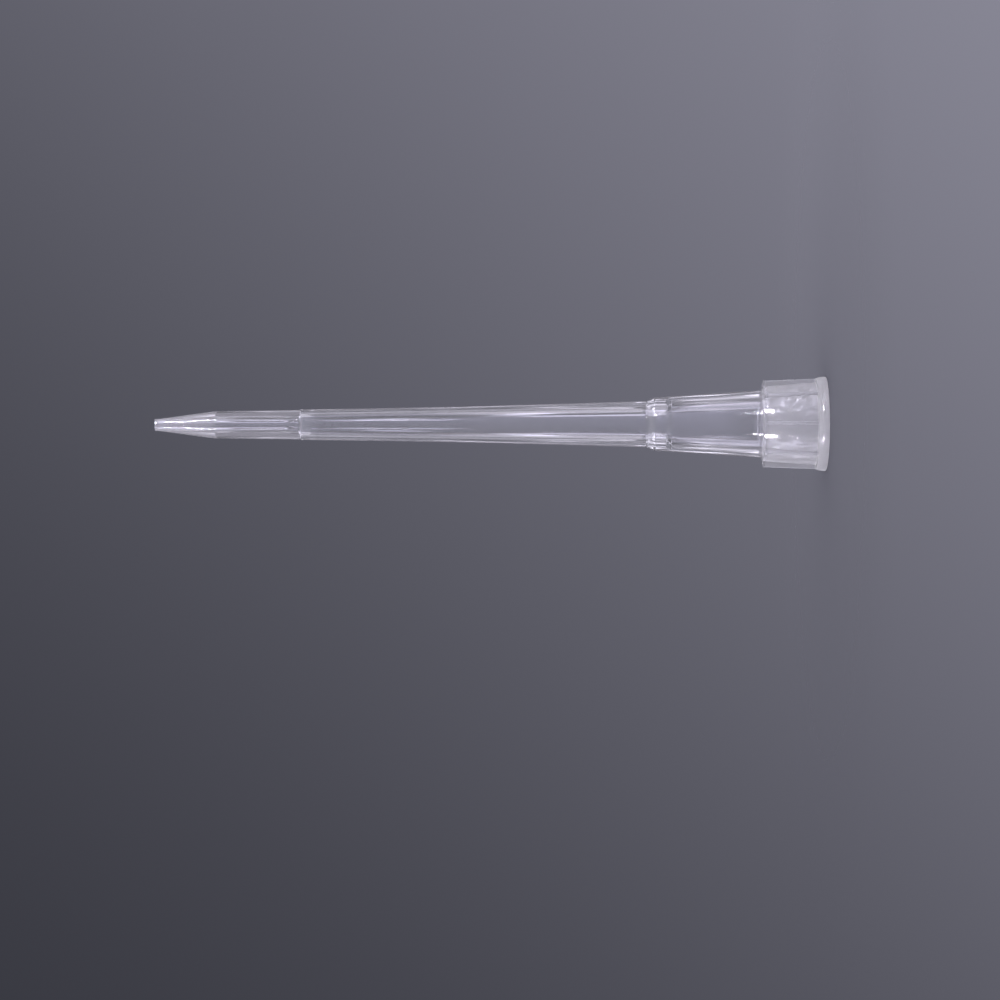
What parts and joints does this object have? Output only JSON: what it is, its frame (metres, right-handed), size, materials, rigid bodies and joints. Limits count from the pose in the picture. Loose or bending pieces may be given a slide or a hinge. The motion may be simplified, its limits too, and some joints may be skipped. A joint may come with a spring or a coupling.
{
  "type": "pipette tip",
  "caption": "Slim tapered pipette tip in clear plastic, with a ribbed flared collar, a socket for the pipette's cone and a fine nozzle.",
  "frame": {"origin": "centre of the rim's end face, on which the tip stands", "axes": "+Z along the tip's axis, from the rim up to the nozzle; X and Y each point at a rib"},
  "size_m": [0.0064, 0.0064, 0.0457],
  "materials": {
    "clear_plastic": "clear, glossy, very slightly hazy polypropylene"
  },
  "bodies": {
    "root": {"pipette_tip": "clear_plastic"}
  },
  "joints": []
}
